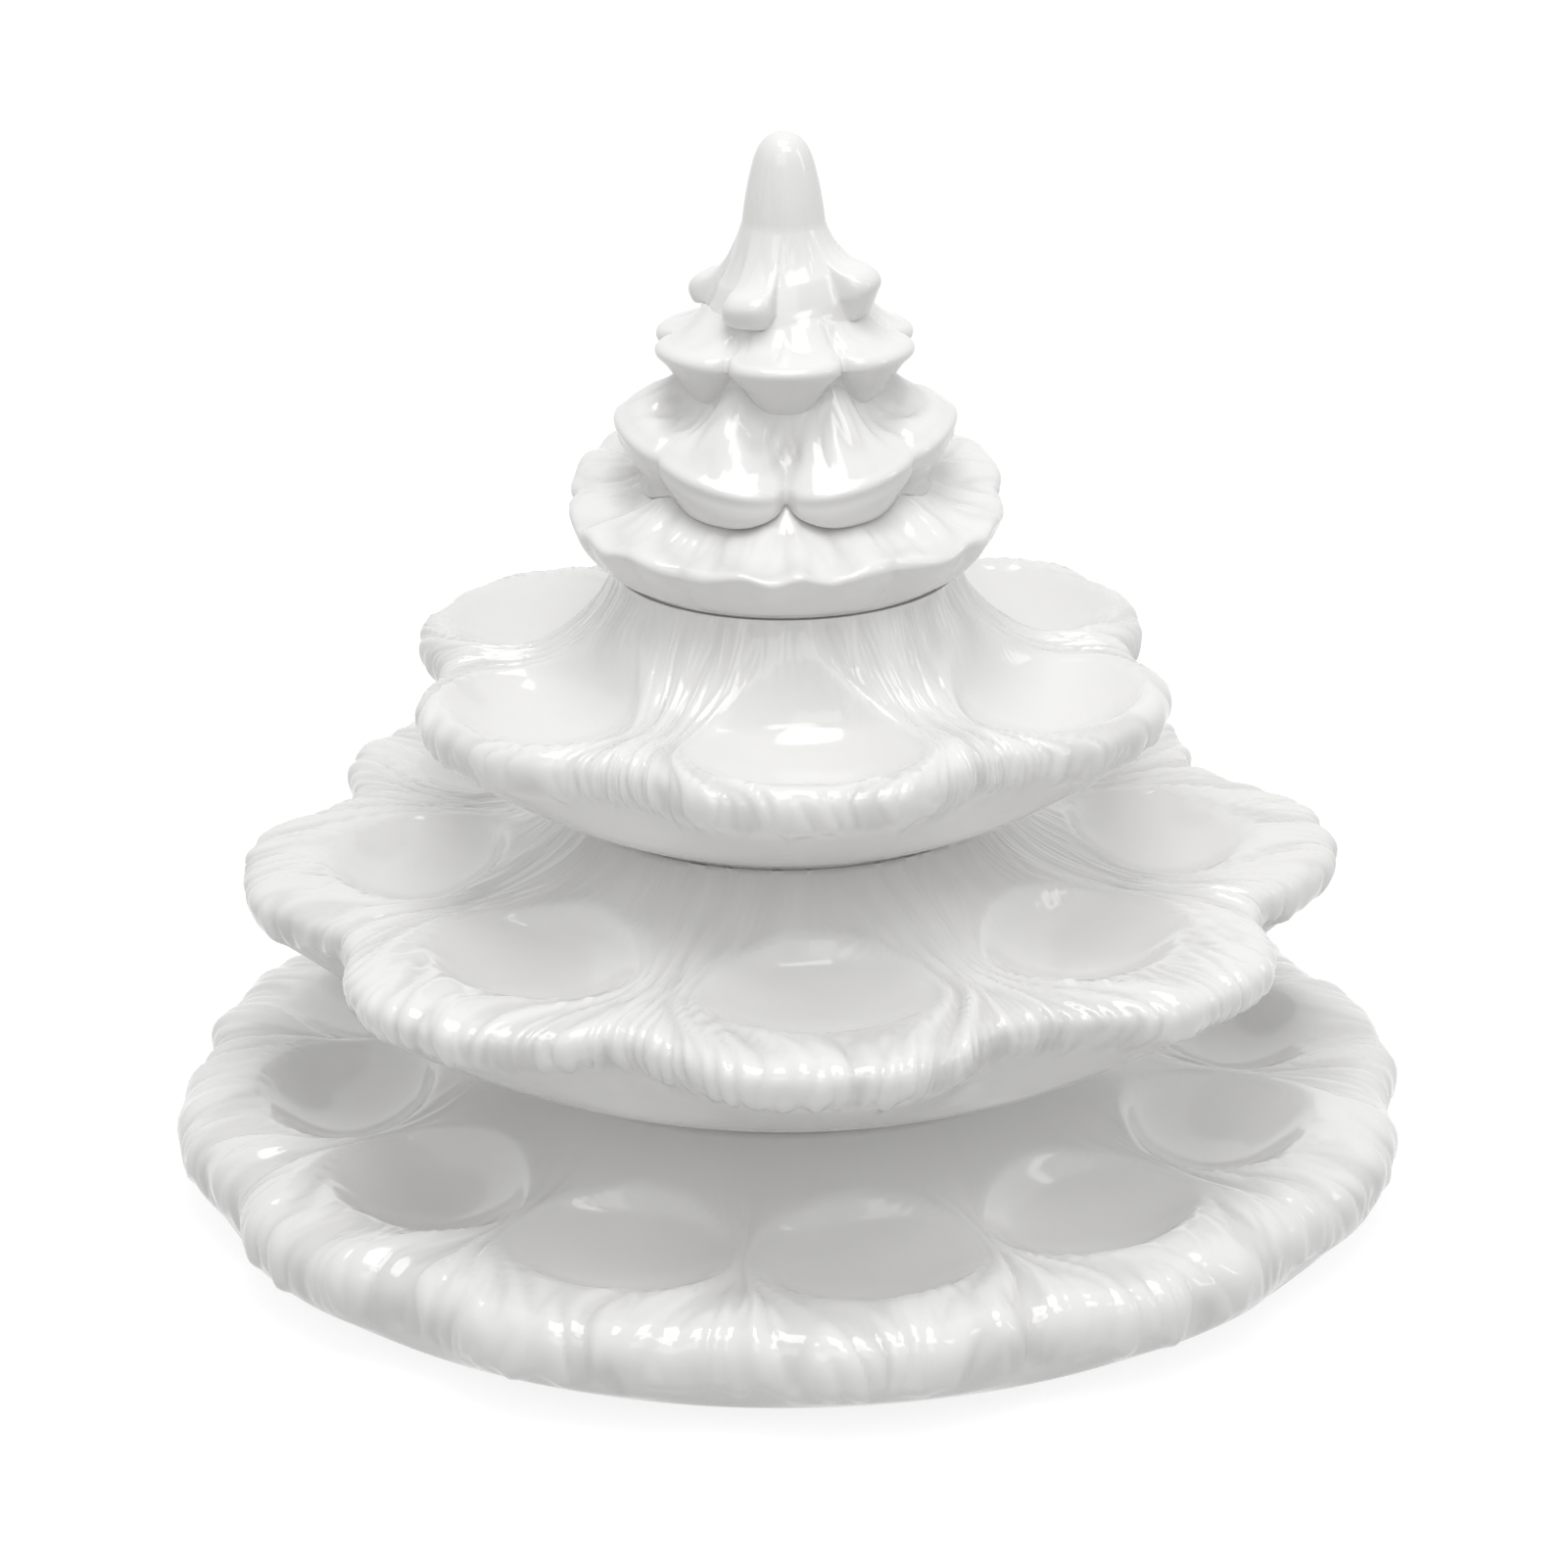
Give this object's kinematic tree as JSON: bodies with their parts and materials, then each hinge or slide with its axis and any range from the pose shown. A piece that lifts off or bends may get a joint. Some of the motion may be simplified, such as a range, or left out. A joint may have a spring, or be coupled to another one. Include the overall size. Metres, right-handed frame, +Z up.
{
  "type": "tiered serving tray",
  "caption": "Stacking serving tray shaped like a fir tree: lobed glazed ceramic tiers with a ring of egg wells on each, and a separate tree-top piece.",
  "frame": {"origin": "middle of the base tier's foot ring, on the table", "axes": "+Z up the stack, the pictured front towards -Y, +X to the viewer's right"},
  "size_m": [0.3352, 0.3352, 0.2924],
  "materials": {
    "white_glaze": "gloss"
  },
  "bodies": {
    "base": {"base_tier": "white_glaze"},
    "middle": {"middle_tier": "white_glaze"},
    "upper": {"upper_tier": "white_glaze"},
    "topper": {"tree_topper": "white_glaze"}
  },
  "joints": [
    {"name": "middle_lift", "type": "slide", "parent": "base", "child": "middle", "axis": [0, 0, 1], "range_m": [0, 0.1]},
    {"name": "upper_lift", "type": "slide", "parent": "middle", "child": "upper", "axis": [0, 0, 1], "range_m": [0, 0.1]},
    {"name": "topper_lift", "type": "slide", "parent": "upper", "child": "topper", "axis": [0, 0, 1], "range_m": [0, 0.1]}
  ]
}
